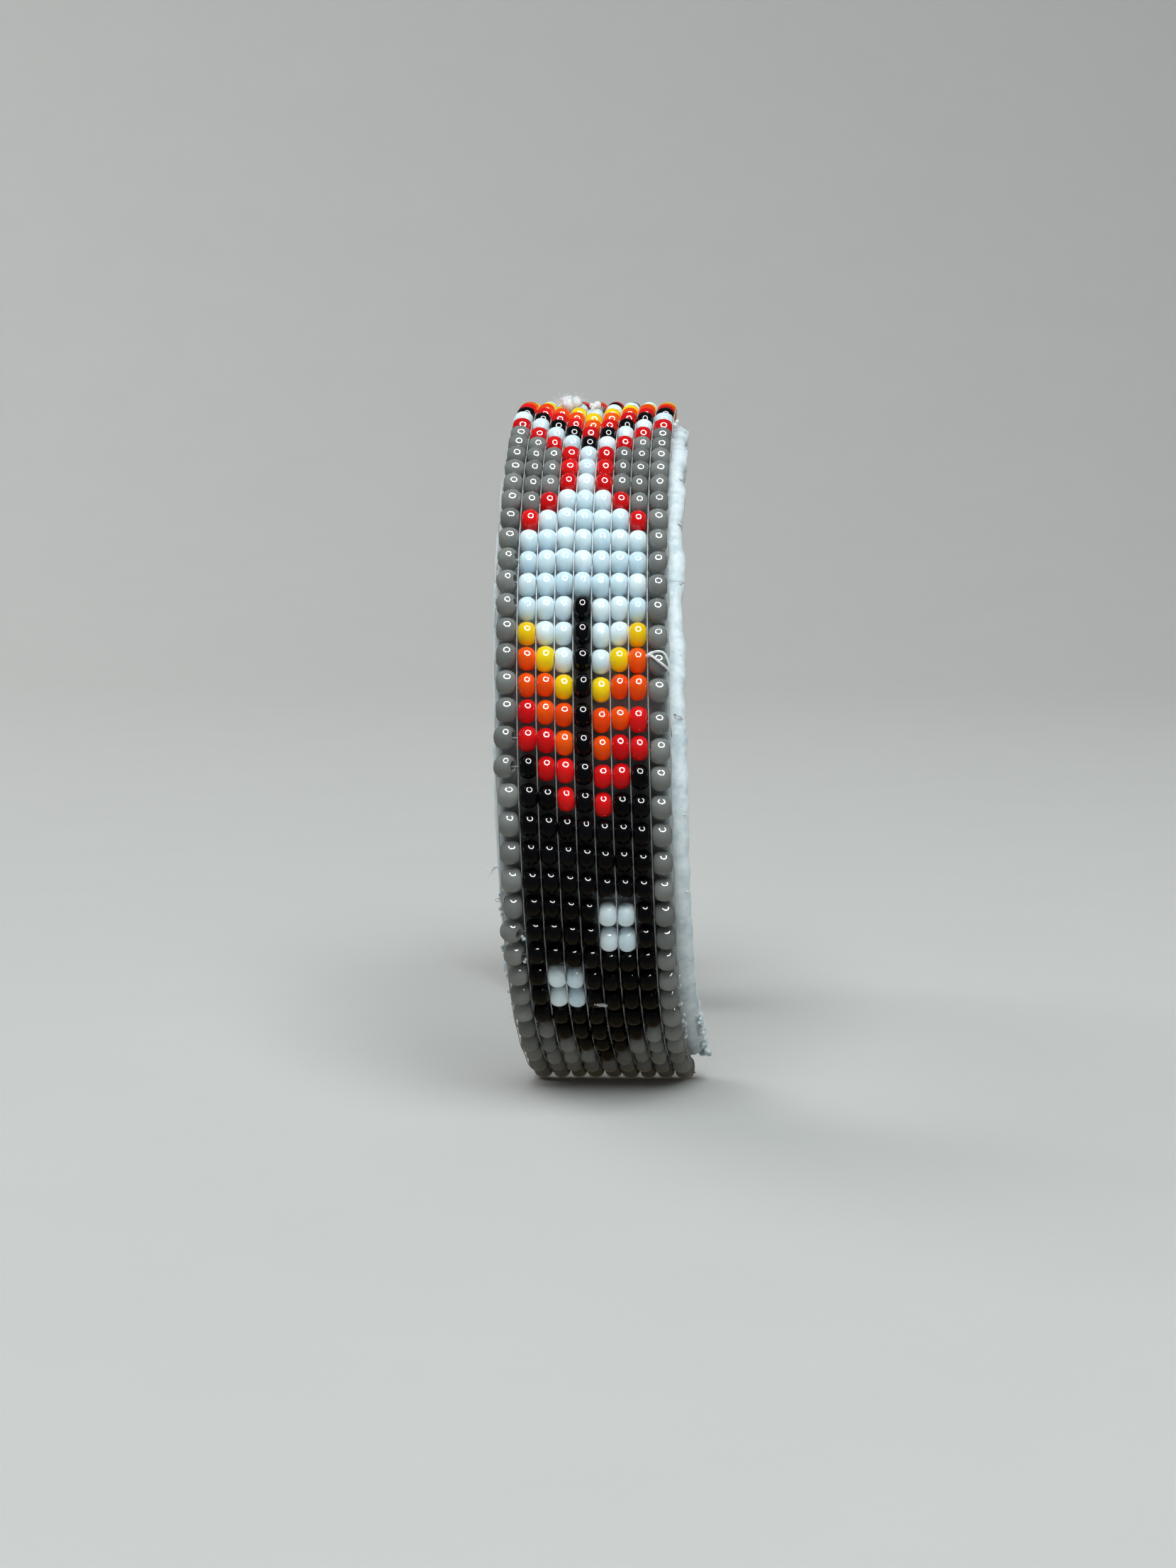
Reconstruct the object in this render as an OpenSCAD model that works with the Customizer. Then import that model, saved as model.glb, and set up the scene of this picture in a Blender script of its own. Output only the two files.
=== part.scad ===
// Open C-shaped cuff bracelet with a loom-woven seed-bead band.
// Frame: the cuff stands on its two ends, medallion on top, +Z up, +X across the band,
// Y along the wide axis of the oval. The front arm is at -Y. Origin: bottom centre.

/* [Beads] */
// Distance between bead rows along the band
row_pitch = 2.23; // [2.23:0.01:2.28]
// Distance between bead columns
column_pitch = 1.45; // [1.45:0.01:1.5]
// Distance from an edge column to its neighbour
edge_pitch = 1.6; // [1.6:0.01:1.65]
// Outer diameter of a bead
bead_d = 2; // [1.94:0.01:2.04]
// Length of an inner bead
bead_l = 1.32; // [1.2:0.01:1.34]
// Length of an edge bead
edge_bead_l = 1.46; // [1.3:0.01:1.46]
// Diameter of the hole through a bead
bead_hole = 0.8; // [0.74:0.01:0.84]

/* [Band] */
// Width of the felt cover and lining
felt_w = 15.1; // [15:0.1:16.5]
// Thickness of the felt cover under the beads
cover_t = 0.8; // [0.6:0.05:0.9]
// Width of the metal blank
blank_w = 12.4; // [11:0.1:12.5]
// Thickness of the metal blank
blank_t = 0.8; // [0.5:0.05:0.9]
// Thickness of the felt lining against the wrist
lining_t = 0.85; // [0.6:0.05:1]
// How far the bead panel sits towards -X of the felt's middle
panel_shift = 0.5; // [0:0.05:0.5]
// Length of felt past the last row of beads
end_margin = 1.4; // [1.2:0.1:2]
// Radius of the felt's corners
corner_r = 3; // [2:0.1:4]

/* [Thread] */
// Diameter of a lengthwise warp thread
warp_d = 0.1; // [0.08:0.01:0.1]
// Diameter of a crosswise weft strand
weft_d = 0.14; // [0.1:0.01:0.14]
// Diameter of the thread in a tacking stitch
stitch_d = 0.16; // [0.1:0.01:0.16]

/* [Hidden] */
// Each arm is a chain of arcs from the middle of the crown: [rows covered, degrees turned]
ARCS = [[7, 22], [12, 47.5], [8, 41], [10, 47.5]];
last_row = 37;
medallion_rows = 7;

// Layers, as depths inwards from the line through the bead centres
layer_gap = 0.03;
cover_top = bead_d / 2 + 0.06;
cover_bottom = cover_top + cover_t;
blank_top = cover_bottom + layer_gap;
blank_bottom = blank_top + blank_t;
lining_top = blank_bottom + layer_gap;
lining_bottom = lining_top + lining_t;
seam = (blank_top + blank_bottom) / 2;
pocket_w = blank_w + 0.2;

// Half of the gap between two segments at a flex line, in rows
flex_gap = 0.15 / row_pitch;
end_row = last_row + end_margin / row_pitch;
bead_face = 0.36;
bead_flat = 0.2;
warp_r = warp_d / 2;
weft_offset = warp_r + weft_d / 2 + 0.04;
warp_tail = 0.45;
stitch_step = 3;
stitch_l = 0.9;
stitch_inset = 0.6;
stitch_slant = 25;
stitch_clear = 0.02;

// Segments between flex lines: [name, first row, last row]
SEGMENTS = [
    ["centre", -9, 9],
    ["front_side", 10, 19],
    ["front_end", 20, last_row],
    ["back_side", -19, -10],
    ["back_end", -last_row, -20]
];

// Bead colours: [letter in the chart, name, display colour]
COLOURS = [
    ["G", "grey", [0.46, 0.48, 0.49]],
    ["W", "white", [0.86, 0.89, 0.92]],
    ["K", "black", [0.04, 0.04, 0.06]],
    ["R", "red", [0.84, 0.08, 0.1]],
    ["O", "orange", [0.94, 0.31, 0.04]],
    ["Y", "yellow", [0.96, 0.75, 0.04]]
];
felt = [0.8, 0.84, 0.88];
metal = [0.72, 0.6, 0.36];
thread = [0.9, 0.9, 0.9];

// The medallion's rings, from three outside its edge to its middle bead
MEDALLION = "GRWKROYWKRO";

// One feather, a string a row from the first row past the medallion to the end of an arm
FEATHER = [
    "GGGRWRGGG", "GGGRWRGGG", "GGGRWRGGG", "GGRWWWRGG", "GRWWWWWRG", "GWWWWWWWG",
    "GWWWWWWWG", "GWWWWWWWG", "GWWWKWWWG", "GYWWKWWYG", "GOYWKWYOG", "GOOYKYOOG",
    "GROOKOORG", "GRROKORRG", "GKRRKRRKG", "GKKRKRKKG", "GKKKKKKKG", "GKKKKKKKG",
    "GKKKKKKKG", "GKKKKWWKG", "GKKKKWWKG", "GKKKKKKKG", "GKWWKKKKG", "GKWWKKKKG",
    "GKKKKKKKG", "GGKKKKKGG", "GGGKKKGGG", "GGGGKGGGG"
];

// Arc geometry. An arm state is [row, angle, distance out, drop].
function arc_radius(i) = ARCS[i][0] * row_pitch / (ARCS[i][1] * PI / 180);
function arc_start(i) = i == 0 ? [0, 0, 0, 0] : arc_at(i - 1, ARCS[i - 1][0]);
function arc_at(i, rows) =
    let (s = arc_start(i), r = arc_radius(i), a = s[1] + ARCS[i][1] * rows / ARCS[i][0])
    [s[0] + rows, a, s[2] + r * (sin(a) - sin(s[1])), s[3] + r * (cos(s[1]) - cos(a))];
function arc_of(row, i = 0) =
    i == len(ARCS) - 1 || row <= arc_start(i + 1)[0] ? i : arc_of(row, i + 1);
function arm(row) = let (i = arc_of(row)) arc_at(i, row - arc_start(i)[0]);

// The band wanders sideways, and its rows lean, as hand weaving does; the arms mirror each other
function sway(row) = -1.15 * sin(180 * row / 31) + 0.9 * pow(max(0, (row - 29) / 8), 2);
function sway_slope(row) = (sway(row + 0.1) - sway(row - 0.1)) / (0.2 * row_pitch);
function lean(row) = row < 9 ? 0 : 0.066 * pow(sin(180 * (row - 9) / 34), 2);

// Height of the middle row, so that the lowest end bead touches the ground
crown_z = arm(last_row + column_x(4) * lean(last_row) / row_pitch)[3] + bead_d / 2;

function side(row) = row < 0 ? -1 : 1;
function tilt(row) = side(row) * arm(abs(row))[1];
function place(row, x, depth) =
    let (a = arm(abs(row)), s = side(row))
    [
        sway(abs(row)) + x,
        s * (depth * sin(a[1]) - a[2]),
        crown_z - a[3] - depth * cos(a[1])
    ];

function column_x(col) =
    abs(col) < 4 ? col * column_pitch : sign(col) * (3 * column_pitch + edge_pitch);
function warp_x(i) =
    i == 0 || i == 9
        ? sign(i - 4.5) * (column_x(4) + edge_bead_l / 2 + warp_d)
        : i == 1 || i == 8
            ? sign(i - 4.5) * (column_x(3) + bead_l / 2 + column_x(4) - edge_bead_l / 2) / 2
            : (i - 4.5) * column_pitch;
function ring_of(row, col) = medallion_rows - abs(row) - abs(col);
function bead_letter(row, col) =
    abs(row) <= medallion_rows ? MEDALLION[max(0, ring_of(row, col) + 3)]
    : abs(row) - medallion_rows - 1 < len(FEATHER)
        ? FEATHER[abs(row) - medallion_rows - 1][col + 4]
        : "G";

// A bead's last two full rows at each end are in a node of their own, because the cuff rests there
function is_end(row) = abs(row) >= last_row - 1;

function first_edge(s) = s[1] == -last_row ? -end_row : s[1] - 0.5 + flex_gap;
function last_edge(s) = s[2] == last_row ? end_row : s[2] + 0.5 - flex_gap;
function steps(s, from, to) =
    concat([from], [for (row = [s[1]:s[2]]) if (row > from && row < to) row], [to]);
function half_width(row, half, end) =
    let (over = max(0, (abs(row) - end) * row_pitch + corner_r))
    half - corner_r + sqrt(max(0.04, corner_r * corner_r - over * over));

// End triangles of a plain strip, and of the two felts, whose edges turn towards each other
PLAIN_CAP = [[0, 1, 2], [0, 2, 3]];
COVER_CAP = [[0, 1, 4], [0, 4, 5], [1, 2, 3], [1, 3, 4], [0, 5, 6], [0, 6, 7]];
LINING_CAP = [[0, 1, 2], [0, 2, 7], [2, 3, 6], [2, 6, 7], [3, 4, 5], [3, 5, 6]];

// A strip or thread through one outline at each row, closed at both ends
module sweep(rings, cap) {
    n = len(rings[0]);
    polyhedron(
        points = [for (ring = rings) each ring],
        faces = concat(
            [for (t = cap) [t[2], t[1], t[0]]],
            [for (j = [0:len(rings) - 2]) for (i = [0:n - 1]) each
                let (a = j * n + i, b = j * n + (i + 1) % n)
                [[a, b, a + n], [b, b + n, a + n]]],
            [for (t = cap) t + (len(rings) - 1) * n * [1, 1, 1]]
        )
    );
}

// Felt on the beads' side, folded down at both edges to meet the lining
module cover(s) {
    color(felt)
        sweep([for (row = steps(s, first_edge(s), last_edge(s)))
            let (w = half_width(row, felt_w / 2, end_row), p = min(w - 0.3, pocket_w / 2))
            [for (c = [
                [-w, cover_top], [w, cover_top], [w, seam - layer_gap / 2],
                [p, seam - layer_gap / 2], [p, cover_bottom], [-p, cover_bottom],
                [-p, seam - layer_gap / 2], [-w, seam - layer_gap / 2]
            ]) place(row, c[0], c[1])]], COVER_CAP);
}

// Felt on the wrist side
module lining(s) {
    color(felt)
        sweep([for (row = steps(s, first_edge(s), last_edge(s)))
            let (w = half_width(row, felt_w / 2, end_row), p = min(w - 0.3, pocket_w / 2))
            [for (c = [
                [-w, seam + layer_gap / 2], [-p, seam + layer_gap / 2], [-p, lining_top],
                [p, lining_top], [p, seam + layer_gap / 2], [w, seam + layer_gap / 2],
                [w, lining_bottom], [-w, lining_bottom]
            ]) place(row, c[0], c[1])]], LINING_CAP);
}

// Bent metal strip that gives the cuff its spring
module blank(s) {
    inset = 0.5 / row_pitch;
    from = max(first_edge(s), -end_row + inset);
    to = min(last_edge(s), end_row - inset);
    color(metal)
        sweep([for (row = steps(s, from, to))
            let (w = half_width(row, blank_w / 2, end_row - inset))
            [for (c = [
                [-w, blank_top], [w, blank_top], [w, blank_bottom], [-w, blank_bottom]
            ]) place(row, c[0], c[1])]], PLAIN_CAP);
}

// One drilled seed bead with its hole along X
module bead(length) {
    flat = bead_flat * length;
    rotate([0, 90, 0])
        rotate_extrude($fn = 32)
            polygon([
                [bead_hole / 2, -length / 2], [bead_d * bead_face, -length / 2],
                [bead_d / 2, -flat], [bead_d / 2, flat],
                [bead_d * bead_face, length / 2], [bead_hole / 2, length / 2]
            ]);
}

module bead_at(row, col) {
    x = column_x(col) - panel_shift;
    along = row + side(row) * column_x(col) * lean(abs(row)) / row_pitch;
    translate(place(along, x, 0))
        rotate([tilt(along), 0, 0])
            rotate([0, 0, side(row) * atan(sway_slope(abs(row)))])
                bead(abs(col) == 4 ? edge_bead_l : bead_l);
}

// All beads of one colour in a segment, without the full end rows
module beads(s, letter, shade) {
    color(shade)
        for (row = [s[1]:s[2]])
            for (col = [-4:4])
                if (!is_end(row) && bead_letter(row, col) == letter) bead_at(row, col);
}

// The full end rows of grey beads, which the cuff stands on
module end_beads(s) {
    color(COLOURS[0][2])
        for (row = [s[1]:s[2]])
            if (is_end(row))
                for (col = [-4:4]) bead_at(row, col);
}

// Lengthwise threads between the columns and along both edges
module warps(s) {
    from = max(first_edge(s), -last_row - warp_tail);
    to = min(last_edge(s), last_row + warp_tail);
    color(thread)
        for (i = [0:9])
            sweep([for (row = steps(s, from, to))
                let (x = warp_x(i) - panel_shift)
                [place(row, x - warp_r, 0), place(row, x, -warp_r),
                 place(row, x + warp_r, 0), place(row, x, warp_r)]], PLAIN_CAP);
}

// Two crosswise strands a row, over and under the warps, through every bead
module wefts(s) {
    half = column_x(4) + edge_bead_l / 2 + warp_d * 2;
    color(thread)
        for (row = [s[1]:s[2]])
            translate(place(row, -panel_shift, 0))
                rotate([tilt(row), 0, 0])
                    rotate([0, 0, -side(row) * atan(lean(abs(row)))])
                        for (up = [-1, 1])
                            translate([0, 0, up * weft_offset])
                                rotate([0, 90, 0])
                                    cylinder(h = 2 * half, d = weft_d, center = true, $fn = 24);
}

// Short tacking stitches between bead rows, which hold the panel's edges to the felt
module stitches(s) {
    color(thread)
        for (row = [s[1]:s[2]])
            if (abs(row) % stitch_step == stitch_step - 1)
                for (edge = [-1, 1])
                    stitch(row + side(row) / 2, edge * (felt_w / 2 - stitch_inset));
}

module stitch(row, x) {
    translate(place(row, x, cover_top - stitch_d / 2 - stitch_clear))
        rotate([tilt(row), 0, stitch_slant * sign(x)])
            rotate([0, 90, 0])
                cylinder(h = stitch_l, d = stitch_d, center = true, $fn = 24);
}

function has_colour(s, letter) =
    max([for (row = [s[1]:s[2]]) for (col = [-4:4])
        !is_end(row) && bead_letter(row, col) == letter ? 1 : 0]) > 0;

NODES = concat(
    [for (s = SEGMENTS) for (kind = [
        "felt_cover", "felt_lining", "metal_blank", "warp_threads", "weft_threads", "tack_stitches"
    ]) str(kind, "_", s[0])],
    [for (s = SEGMENTS) for (c = COLOURS) if (has_colour(s, c[0])) str(c[1], "_beads_", s[0])],
    [for (s = SEGMENTS) if (is_end(s[1]) || is_end(s[2])) str("end_beads_", s[0])]
);
node = "all";

function drawn(kind, s) = node == "all" || node == str(kind, "_", s[0]);

for (s = SEGMENTS) {
    if (drawn("felt_cover", s)) cover(s);
    if (drawn("felt_lining", s)) lining(s);
    if (drawn("metal_blank", s)) blank(s);
    if (drawn("warp_threads", s)) warps(s);
    if (drawn("weft_threads", s)) wefts(s);
    if (drawn("tack_stitches", s)) stitches(s);
    if (drawn("end_beads", s)) end_beads(s);
    for (c = COLOURS)
        if (drawn(str(c[1], "_beads"), s)) beads(s, c[0], c[2]);
}
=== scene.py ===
import math
import random

import bpy
from mathutils import Matrix, Vector, noise


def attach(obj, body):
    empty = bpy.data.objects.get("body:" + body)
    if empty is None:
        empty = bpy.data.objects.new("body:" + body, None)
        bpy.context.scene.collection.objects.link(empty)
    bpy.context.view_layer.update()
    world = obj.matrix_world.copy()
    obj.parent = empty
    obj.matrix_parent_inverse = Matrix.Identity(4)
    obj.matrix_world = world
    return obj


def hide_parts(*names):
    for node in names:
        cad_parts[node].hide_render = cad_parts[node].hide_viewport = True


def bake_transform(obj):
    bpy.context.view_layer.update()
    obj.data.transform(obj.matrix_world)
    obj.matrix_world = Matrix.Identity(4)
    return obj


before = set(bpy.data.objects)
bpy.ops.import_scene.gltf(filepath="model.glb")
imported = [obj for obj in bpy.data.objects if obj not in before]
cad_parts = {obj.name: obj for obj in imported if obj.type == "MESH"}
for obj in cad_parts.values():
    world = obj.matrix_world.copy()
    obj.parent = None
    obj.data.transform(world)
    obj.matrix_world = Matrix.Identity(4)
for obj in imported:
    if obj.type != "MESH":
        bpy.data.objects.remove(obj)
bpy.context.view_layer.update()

MM = 0.001

# The band's driving sizes, in millimetres, as the CAD has them
ROW_PITCH = 2.23
COLUMN_PITCH = 1.45
EDGE_PITCH = 1.6
BEAD_R = 1.0
BEAD_HALF = 0.66
EDGE_BEAD_HALF = 0.73
HOLE_R = 0.4
LAST_ROW = 37
MEDALLION_ROWS = 7
PANEL_SHIFT = 0.5
# Each arm is a chain of arcs: rows it spans, degrees it turns
ARCS = [(7, 22), (12, 47.5), (8, 41), (10, 47.5)]
# The band bows sideways along each arm, kicks out at its end, and its rows lean
BOW, BOW_ROWS = 1.15, 31
END_KICK, KICK_ROW, KICK_ROWS = 0.9, 29, 8
LEAN, LEAN_FROM, LEAN_ROWS = 0.066, 9, 34

# Layers, as depths inwards from the line through the bead centres, and their half widths
COVER_TOP, COVER_BOTTOM = 1.06, 1.86
SEAM = 2.29
LINING_TOP, LINING_BOTTOM = 2.72, 3.57
FELT_HALF = 7.55
POCKET_HALF = 6.3
CORNER_R = 3.0
END_ROW = LAST_ROW + 1.4 / ROW_PITCH

# Where the arms flex, where the felt strips meet, and each segment's body, first and last row
FLEX_ROWS = (9.5, 19.5)
MID_ROW = 14.5
BODIES = {
    "centre": ("root", -9, 9),
    "front_side": ("front_side", 10, 19),
    "front_end": ("front_end", 20, LAST_ROW),
    "back_side": ("back_side", -19, -10),
    "back_end": ("back_end", -LAST_ROW, -20),
}
COLOUR_NAMES = {
    "G": "grey", "W": "white", "K": "black", "R": "red", "O": "orange", "Y": "yellow",
}
# The medallion's rings from outside to inside, and the feather's rows from the crown down
MEDALLION = "GRWKROYWKRO"
FEATHER = """
GGGRWRGGG GGGRWRGGG GGGRWRGGG GGRWWWRGG GRWWWWWRG GWWWWWWWG GWWWWWWWG
GWWWWWWWG GWWWKWWWG GYWWKWWYG GOYWKWYOG GOOYKYOOG GROOKOORG GRROKORRG
GKRRKRRKG GKKRKRKKG GKKKKKKKG GKKKKKKKG GKKKKKKKG GKKKKWWKG GKKKKWWKG
GKKKKKKKG GKWWKKKKG GKWWKKKKG GKKKKKKKG GGKKKKKGG GGGKKKGGG GGGGKGGGG
""".split()


# ---------------------------------------------------------------- the cuff's path

def arc_state(index, rows):
    """Row, angle, distance out and drop, some rows into an arc."""
    row, angle, out, drop = (0, 0, 0, 0) if index == 0 else arc_state(index - 1, ARCS[index - 1][0])
    span, turn = ARCS[index]
    radius = span * ROW_PITCH / math.radians(turn)
    end = angle + turn * rows / span
    a, b = math.radians(angle), math.radians(end)
    return (row + rows, end, out + radius * (math.sin(b) - math.sin(a)),
            drop + radius * (math.cos(a) - math.cos(b)))


ARC_STARTS = [arc_state(i, 0) for i in range(len(ARCS))]


def arm(row):
    """Row, angle, distance out and drop of an arm at a row."""
    index = max(i for i in range(len(ARCS)) if row >= ARC_STARTS[i][0])
    return arc_state(index, row - ARC_STARTS[index][0])


def sway(row):
    """How far the band runs to one side of its middle line, in mm: one long bow, and a kick at the end."""
    return -BOW * math.sin(math.pi * row / BOW_ROWS) + END_KICK * max(0, (row - KICK_ROW) / KICK_ROWS) ** 2


def lean(row):
    """How far the rows lean, in mm along the band for each mm across."""
    return 0 if row < LEAN_FROM else LEAN * math.sin(math.pi * (row - LEAN_FROM) / LEAN_ROWS) ** 2


def column_x(col):
    """The middle of a bead column, in mm from the panel's middle."""
    return col * COLUMN_PITCH if abs(col) < 4 else math.copysign(3 * COLUMN_PITCH + EDGE_PITCH, col)


CROWN_Z = arm(LAST_ROW + column_x(4) * lean(LAST_ROW) / ROW_PITCH)[3] + BEAD_R


def place(row, x, depth):
    """A point of the band, in metres: rows from the crown, mm across, mm inwards."""
    side = -1 if row < 0 else 1
    _, angle, out, drop = arm(abs(row))
    a = math.radians(angle)
    return Vector((sway(abs(row)) + x, side * (depth * math.sin(a) - out),
                   CROWN_Z - drop - depth * math.cos(a))) * MM


def turned(row):
    """The band's own axes at a row: across, towards the crown or past it, and outwards."""
    side = -1 if row < 0 else 1
    slope = (sway(abs(row) + 0.1) - sway(abs(row) - 0.1)) / (0.2 * ROW_PITCH)
    return (Matrix.Rotation(math.radians(side * arm(abs(row))[1]), 4, "X")
            @ Matrix.Rotation(side * math.atan(slope), 4, "Z"))


def bead_letter(row, col):
    """The colour letter of one bead; both arms carry the same pattern."""
    if abs(row) <= MEDALLION_ROWS:
        return MEDALLION[max(0, MEDALLION_ROWS - abs(row) - abs(col) + 3)]
    index = abs(row) - MEDALLION_ROWS - 1
    return FEATHER[index][col + 4] if index < len(FEATHER) else "G"


# ---------------------------------------------------------------- mesh helpers

def ring_faces(rings, around, closed=False):
    """Faces between neighbouring rings of points; closed joins the last ring to the first."""
    return [(i * around + j, i * around + (j + 1) % around,
             (i + 1) % rings * around + (j + 1) % around, (i + 1) % rings * around + j)
            for i in range(rings if closed else rings - 1) for j in range(around)]


class Shape:
    """Vertices, faces, flat-shaded faces and a tone for each vertex, gathered into one mesh."""

    def __init__(self):
        self.points, self.faces, self.tones, self.flat = [], [], [], set()

    def add(self, points, faces, tone=0.5):
        """Points, faces that count from the first of them, and one tone for all of them."""
        first = len(self.points)
        self.points.extend(points)
        self.faces.extend([tuple(first + i for i in face) for face in faces])
        self.tones.extend([tone] * len(points))

    def tube(self, path, radius, sides=8, tone=0.5, taper=False):
        """A closed round tube along a path; taper thins it towards its far end.

        tone is one number, or one for each point of the path.
        """
        path = [Vector(p) for p in path]
        count = len(path)
        up = Vector((0.37, 0.61, 0.7))
        points = []
        for i, p in enumerate(path):
            along = (path[min(i + 1, count - 1)] - path[max(i - 1, 0)]).normalized()
            a = along.cross(up).normalized()
            b = along.cross(a)
            r = radius * (1 - 0.85 * i / (count - 1)) if taper else radius
            for j in range(sides):
                t = 2 * math.pi * j / sides
                points.append(p + (a * math.cos(t) + b * math.sin(t)) * r)
        faces = ring_faces(count, sides)
        faces.append(tuple(range(sides - 1, -1, -1)))
        faces.append(tuple((count - 1) * sides + j for j in range(sides)))
        self.add(points, faces, 0.5 if isinstance(tone, list) else tone)
        if isinstance(tone, list):
            self.tones[-len(points):] = [t for t in tone for _ in range(sides)]

    def build(self, name, material):
        """A new object of this shape, in the scene, in metres."""
        mesh = bpy.data.meshes.new(name)
        mesh.from_pydata([tuple(p) for p in self.points], [], self.faces)
        mesh.polygons.foreach_set("use_smooth", [i not in self.flat for i in range(len(self.faces))])
        tone = mesh.attributes.new("tone", "FLOAT", "POINT")
        tone.data.foreach_set("value", self.tones)
        mesh.update()
        mesh.materials.append(material)
        piece = bpy.data.objects.new(name, mesh)
        bpy.context.scene.collection.objects.link(piece)
        return piece


def smooth_path(points, steps=8):
    """A Catmull-Rom curve through the points."""
    pts = [Vector(p) for p in points]
    pts = [2 * pts[0] - pts[1]] + pts + [2 * pts[-1] - pts[-2]]
    out = []
    for i in range(1, len(pts) - 2):
        p0, p1, p2, p3 = pts[i - 1:i + 3]
        for j in range(steps):
            t = j / steps
            out.append(0.5 * (2 * p1 + (p2 - p0) * t + (2 * p0 - 5 * p1 + 4 * p2 - p3) * t * t
                              + (3 * p1 - p0 - 3 * p2 + p3) * t ** 3))
    return out + [pts[-2]]


def wander(row, seed, size):
    """A slow random drift along the band, from -1 to 1."""
    return noise.noise(Vector((row / size, seed * 7.3, seed * 1.9)))


# ---------------------------------------------------------------- materials

def new_material(name):
    """A node material, its tree and its main shader."""
    material = bpy.data.materials.new(name)
    material.use_nodes = True
    tree = material.node_tree
    return material, tree, tree.nodes["Principled BSDF"]


def glow_material(name, strength, colour=(1.0, 1.0, 1.0)):
    """A surface that only gives off light."""
    material = bpy.data.materials.new(name)
    material.use_nodes = True
    tree = material.node_tree
    tree.nodes.clear()
    glow = tree.nodes.new("ShaderNodeEmission")
    glow.inputs["Color"].default_value = (*colour, 1.0)
    glow.inputs["Strength"].default_value = strength
    out = tree.nodes.new("ShaderNodeOutputMaterial")
    tree.links.new(glow.outputs["Emission"], out.inputs["Surface"])
    return material


def object_noise(tree, scale, detail=3.0, roughness=0.5):
    """Noise over the object's own space; scale counts lumps a metre."""
    where = tree.nodes.new("ShaderNodeTexCoord")
    texture = tree.nodes.new("ShaderNodeTexNoise")
    texture.inputs["Scale"].default_value = scale
    texture.inputs["Detail"].default_value = detail
    texture.inputs["Roughness"].default_value = roughness
    tree.links.new(where.outputs["Object"], texture.inputs["Vector"])
    return texture.outputs["Fac"]


def spread(tree, value, low, high, low_in=0.0, high_in=1.0):
    """A value's range, from low_in to high_in, mapped onto low to high."""
    node = tree.nodes.new("ShaderNodeMapRange")
    node.inputs["From Min"].default_value = low_in
    node.inputs["From Max"].default_value = high_in
    node.inputs["To Min"].default_value = low
    node.inputs["To Max"].default_value = high
    tree.links.new(value, node.inputs["Value"])
    return node.outputs["Result"]


def mixed(tree, factor, a, b, blend="MIX"):
    """A mix of two colours; each is a colour or a socket."""
    node = tree.nodes.new("ShaderNodeMix")
    node.data_type = "RGBA"
    node.blend_type = blend
    if isinstance(factor, float):
        node.inputs[0].default_value = factor
    else:
        tree.links.new(factor, node.inputs[0])
    for socket, value in ((node.inputs[6], a), (node.inputs[7], b)):
        if isinstance(value, tuple):
            socket.default_value = (*value, 1.0)
        else:
            tree.links.new(value, socket)
    return node.outputs[2]


def add_bump(tree, shader, height, strength, distance):
    """Fine relief from a height socket; distance is in metres."""
    node = tree.nodes.new("ShaderNodeBump")
    node.inputs["Strength"].default_value = strength
    node.inputs["Distance"].default_value = distance
    tree.links.new(height, node.inputs["Height"])
    tree.links.new(node.outputs["Normal"], shader.inputs["Normal"])


def tone_of(tree):
    """The tone that each vertex carries."""
    node = tree.nodes.new("ShaderNodeAttribute")
    node.attribute_name = "tone"
    return node.outputs["Fac"]


def bead_glass(name, dark, light, milk=0.0, scatter=(1.0, 1.0, 1.0), coat=0.8, gloss=1.6):
    """Opaque pressed glass: each bead its own tone, faint swirls and a slightly uneven surface."""
    material, tree, shader = new_material(name)
    swirl = spread(tree, object_noise(tree, 900, 2.0), 0.0, 1.0, 0.3, 0.7)
    base = mixed(tree, tone_of(tree), dark, light)
    deeper = mixed(tree, 1.0, base, (0.9, 0.9, 0.91), "MULTIPLY")
    tree.links.new(mixed(tree, swirl, base, deeper), shader.inputs["Base Color"])
    rough = spread(tree, object_noise(tree, 2600, 2.0), 0.09, 0.2, 0.35, 0.65)
    tree.links.new(rough, shader.inputs["Roughness"])
    shader.inputs["Specular IOR Level"].default_value = 0.0
    shader.inputs["Coat Weight"].default_value = coat
    shader.inputs["Coat IOR"].default_value = gloss
    shader.inputs["Coat Roughness"].default_value = 0.09
    if milk:
        shader.inputs["Subsurface Weight"].default_value = milk
        shader.inputs["Subsurface Radius"].default_value = scatter
        shader.inputs["Subsurface Scale"].default_value = 0.001
    add_bump(tree, shader, object_noise(tree, 1500, 2.0), 0.06, 0.00002)
    return material


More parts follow.
